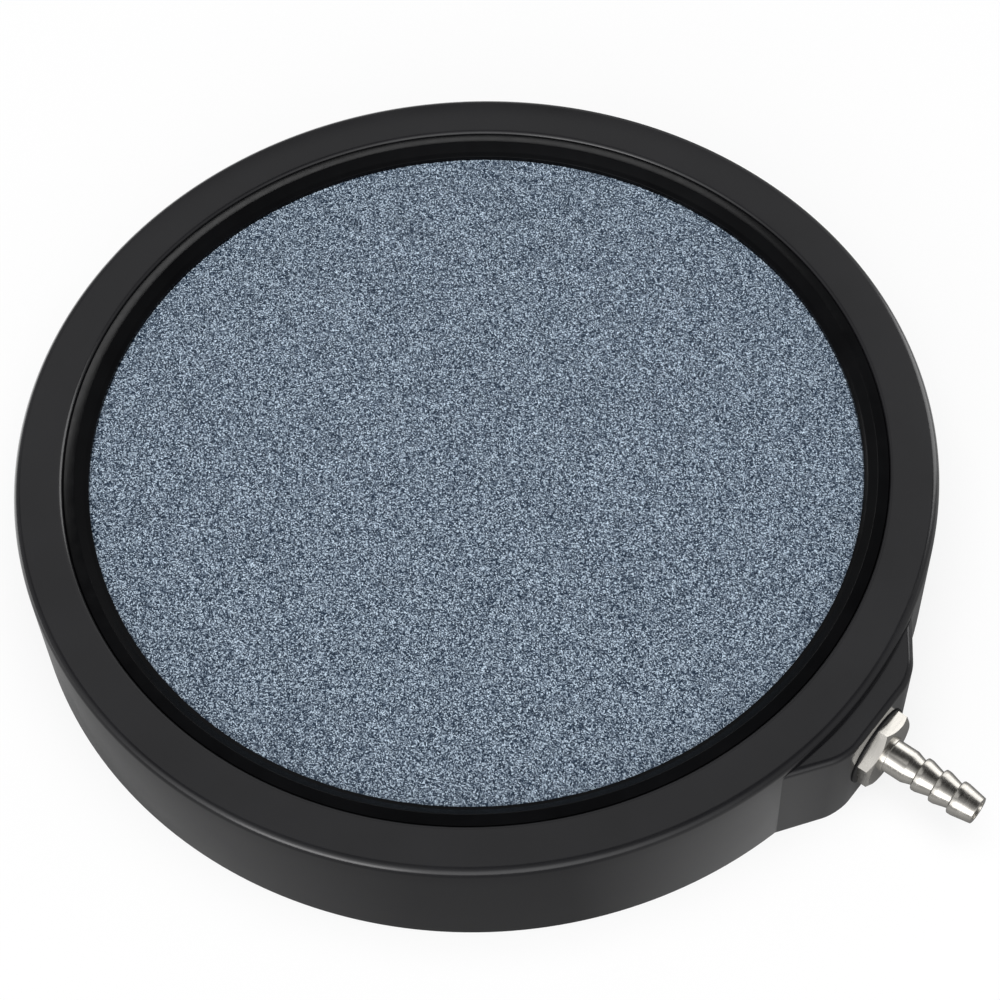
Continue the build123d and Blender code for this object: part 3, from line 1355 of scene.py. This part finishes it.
@dataclass(frozen=True)
class Studio:
    """Plain floor, plain surroundings, soft lamps and the camera.

    A side is an angle in degrees round the object, from the camera's side, to the right.

    Attributes:
        rim_height: metres from the floor to the rim.
        heading_deg: the camera's heading round the object.
        rise_deg: its angle above the floor.
        roll_deg: its roll.
        distance: metres to the middle of the rim.
        aside: metres that it stands to its right of that line.
        above: metres that it stands above that line.
        lens: focal length in millimetres.
        sensor: width of the camera's sensor in millimetres.
        nearest: metres from the camera within which nothing shows.
        floor_radius: metres.
        floor_tone: the floor's own linear colour, which takes light and shadow.
        floor_glow: brightness that only the camera sees on it.
        sheen_strength: brightness of the floor where gloss mirrors it, at a level of 1.
        foot_reach: metres from the axis between which foot_levels give way to floor_levels.
        foot_levels: sides and the mirrored floor's level close to the housing.
        floor_levels: sides and its level further out.
        sky_strength: brightness of the surroundings, at a level of 1.
        sky_tint: how much bluer than grey they are.
        sky_levels: angles above the floor in degrees and the level of the surroundings there.
        sky_sides: sides and what that level is multiplied by there.
        lamps: the soft lamps.
    """

    rim_height: float
    heading_deg: float = 40.14
    rise_deg: float = 57.5177
    roll_deg: float = -2.6505
    distance: float = 0.5554
    aside: float = 0.00544
    above: float = -0.01112
    lens: float = 92.38
    sensor: float = 36.0
    nearest: float = 0.01
    floor_radius: float = 3.0
    floor_tone: float = 0.20
    floor_glow: float = 0.80
    sheen_strength: float = 2.2
    foot_reach: tuple[float, float] = (0.108, 0.130)
    foot_levels: Levels = (
        (-180.0, 0.1), (-98.0, 0.15), (-80.0, 0.14), (-65.0, 0.055), (-35.0, 0.05), (-10.0, 0.0),
        (10.0, 0.0), (25.0, 0.09), (38.0, 0.15), (50.0, 0.02), (166.0, 0.0), (180.0, 0.1),
    )
    floor_levels: Levels = (
        (-180.0, 0.5), (-120.0, 0.9), (-98.0, 0.8), (-80.0, 0.16), (-65.0, 0.055), (-35.0, 0.05),
        (-10.0, 0.0), (10.0, 0.0), (25.0, 0.09), (38.0, 0.15), (50.0, 0.02), (80.0, 0.05), (95.0, 0.22),
        (105.0, 0.32), (118.0, 0.28), (135.0, 0.05), (166.0, 0.0), (180.0, 0.5),
    )
    sky_strength: float = 1.9
    sky_tint: float = 1.01
    sky_levels: Levels = (
        (20.0, 1.0), (34.0, 0.88), (42.0, 0.50), (50.0, 0.26), (57.0, 0.17), (66.0, 0.13), (75.0, 0.06),
    )
    sky_sides: Levels = (
        (-180.0, 0.2), (-100.0, 0.2), (-75.0, 0.35), (-55.0, 0.85), (-30.0, 1.0), (10.0, 1.0),
        (30.0, 0.6), (55.0, 0.2), (110.0, 0.2), (150.0, 0.3), (180.0, 0.2),
    )
    lamps: tuple[Softbox, ...] = (
        # name, side, rise, distance, width, height, level, what it does, finishes
        Softbox("fill", 0.0, 80.0, 1.6, 1.6, 1.6, 2.6, Glow.FILL),
        Softbox("right_shine", 126.0, 19.0, 1.3, 0.55, 0.90, 2.8, Glow.SHINE, ("housing",)),
        Softbox("key_shine", -32.0, 12.0, 1.3, 0.70, 0.50, 3.2, Glow.SHINE, ("housing", "sealing_ring")),
        Softbox("crown_shine", 184.0, 67.0, 1.4, 1.6, 1.10, 0.44, Glow.SHINE, ("housing",)),
        Softbox("metal_shine", -22.0, 16.0, 1.3, 1.0, 0.9, 1.5, Glow.SHINE, ("hose_barb",)),
        Softbox("metal_back", 166.0, 25.0, 1.3, 0.65, 1.0, 0.75, Glow.SHINE, ("hose_barb",)),
        Softbox("metal_cone", 131.0, 25.0, 1.3, 0.75, 1.0, 1.65, Glow.SHINE, ("hose_barb",)),
        Softbox("metal_dome", -100.0, 66.0, 1.3, 1.1, 0.9, 0.60, Glow.SHINE, ("hose_barb",)),
        Softbox("ring_left", -153.0, 41.0, 1.3, 0.64, 0.28, 9.5, Glow.SHINE, ("sealing_ring",)),
        Softbox("ring_back", 175.0, 39.0, 1.3, 0.48, 0.28, 7.0, Glow.SHINE, ("sealing_ring",)),
    )

    def build(self) -> None:
        """Builds the whole studio."""
        bpy.context.scene.view_settings.view_transform = "Standard"
        self.camera()
        self.floor()
        self.sky()
        for lamp in self.lamps:
            lamp.build(math.radians(self.heading_deg))

    def camera(self) -> None:
        """Sets the camera up."""
        heading, rise, roll = (math.radians(a) for a in (self.heading_deg, self.rise_deg, self.roll_deg))
        away = math.cos(rise)
        back = Vector((math.sin(heading) * away, -math.cos(heading) * away, math.sin(rise)))
        right = Vector((math.cos(heading), math.sin(heading), 0.0))
        top = back.cross(right)
        right, top = (
            right * math.cos(roll) + top * math.sin(roll),
            top * math.cos(roll) - right * math.sin(roll),
        )
        where = Vector((0, 0, self.rim_height)) + back * self.distance + right * self.aside + top * self.above
        data = bpy.data.cameras.new("camera")
        data.lens = self.lens
        data.sensor_width = self.sensor
        data.clip_start = self.nearest
        camera = bpy.data.objects.new("camera", data)
        turn_to = Matrix((right, top, back)).transposed().to_4x4()
        camera.matrix_world = Matrix.Translation(where) @ turn_to
        bpy.context.scene.collection.objects.link(camera)
        bpy.context.scene.camera = camera

    def floor(self) -> None:
        """Lays the pale floor, which gloss mirrors brighter or darker by side."""
        bm = bmesh.new()
        bmesh.ops.create_circle(bm, cap_ends=True, segments=64, radius=self.floor_radius)
        mesh = to_mesh(bm, "floor")
        floor = bpy.data.objects.new("floor", mesh)
        bpy.context.scene.collection.objects.link(floor)
        deck = Paint("pale_floor")
        rays = deck.add("LightPath").outputs
        mirrored = deck.work("Math", "MAXIMUM", rays["Is Glossy Ray"], rays["Is Transmission Ray"])
        both = (self.foot_levels, self.floor_levels)
        near, far = (self.by_side(deck, levels, self.sheen_strength) for levels in both)
        out = deck.work("VectorMath", "LENGTH", deck.place).outputs["Value"]
        level = deck.spread(out, near, far, *self.foot_reach)
        sheen = deck.work("Math", "MULTIPLY", mirrored.outputs[0], level)
        seen = deck.work("Math", "MULTIPLY_ADD", rays["Is Camera Ray"], self.floor_glow, sheen.outputs[0])
        deck.set(
            Base_Color=(self.floor_tone, self.floor_tone, self.floor_tone, 1.0),
            Roughness=0.9,
            Specular_IOR_Level=0.1,
            Emission_Color=(1.0, 1.0, 1.0, 1.0),
            Emission_Strength=seen.outputs[0],
        )
        mesh.materials.append(deck.material)

    def towards(self, side_deg: float) -> Vector:
        """Level direction at a side."""
        angle = math.radians(self.heading_deg + side_deg)
        return Vector((math.sin(angle), -math.cos(angle), 0.0))

    def by_side(self, deck: Deck, levels: Levels, strength: float) -> Socket:
        """A level that changes with the direction round the object.

        Args:
            deck: the nodes of the floor or the sky.
            levels: sides in degrees, from -180 to 180, and their levels.
            strength: what the levels are multiplied by.

        Returns:
            The level's socket.
        """
        right, front = (
            deck.work("VectorMath", "DOT_PRODUCT", deck.place, self.towards(side_deg)).outputs["Value"]
            for side_deg in (90.0, 0.0)
        )
        angle = deck.work("Math", "ARCTAN2", right, front).outputs[0]
        share = deck.spread(angle, 0.0, 1.0, -math.pi, math.pi)
        stops = [((side_deg + 180.0) / 360.0, (level, level, level)) for side_deg, level in levels]
        return deck.work("Math", "MULTIPLY", deck.ramp(share, stops), strength).outputs[0]

    def sky(self) -> None:
        """Sets the plain surroundings: pale at eye level in front, darker overhead and behind."""
        world = bpy.data.worlds.new("studio")
        world.use_nodes = True
        bpy.context.scene.world = world
        deck = Deck(world.node_tree, "Generated")
        rise = deck.add("SeparateXYZ", Vector=deck.place).outputs["Z"]
        stops = [
            (math.sin(math.radians(rise_deg)), (level, level, level * self.sky_tint))
            for rise_deg, level in self.sky_levels
        ]
        background = world.node_tree.nodes["Background"]
        deck.feed(background.inputs["Color"], deck.ramp(rise, stops))
        deck.feed(background.inputs["Strength"], self.by_side(deck, self.sky_sides, self.sky_strength))


# ------------------------------------------------------------------------------------------------
# All together
# ------------------------------------------------------------------------------------------------

WALL_DRAFT = 0.15  # millimetres by which the outer wall leans in from foot to rim


def in_mm(node: str) -> tuple[Vector, Vector]:
    """Lowest and highest corner of a node of the frame, in millimetres."""
    low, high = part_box(node)
    return low / MM, high / MM


def main() -> None:
    """Builds the diffuser piece by piece, then the studio around it."""
    logging.basicConfig(level=logging.INFO, format="%(name)s: %(message)s")
    shell_low, shell_high = in_mm("housing")
    plate_low, plate_high = in_mm("porous_disc")
    ring_low, ring_high = in_mm("sealing_ring")
    washer_low, washer_high = in_mm("fitting_washer")
    inlet = (washer_low.z + washer_high.z) / 2
    foot = -shell_low.x
    housing = Housing(
        rim_radius=foot - WALL_DRAFT, foot_radius=foot, height=shell_high.z, boss_face=shell_high.x,
        inlet_height=inlet, ledge_height=plate_low.z,
    )
    disc = PorousDisc(radius=plate_high.x, bottom=plate_low.z, top=plate_high.z)
    ring = SealingRing(radius=ring_high.x, bottom=ring_low.z, top=ring_high.z, plate_top=plate_high.z)
    barb = HoseBarb(face=washer_low.x, height=inlet)
    housing.build(MouldedPlastic().material())
    disc.build(BondedGrit().material())
    ring.build(GlossyRubber().material())
    barb.build(NickelPlate().material(), SoftRubber().material())
    Studio(rim_height=shell_high.z * MM).build()


if __name__ == "__main__":
    main()
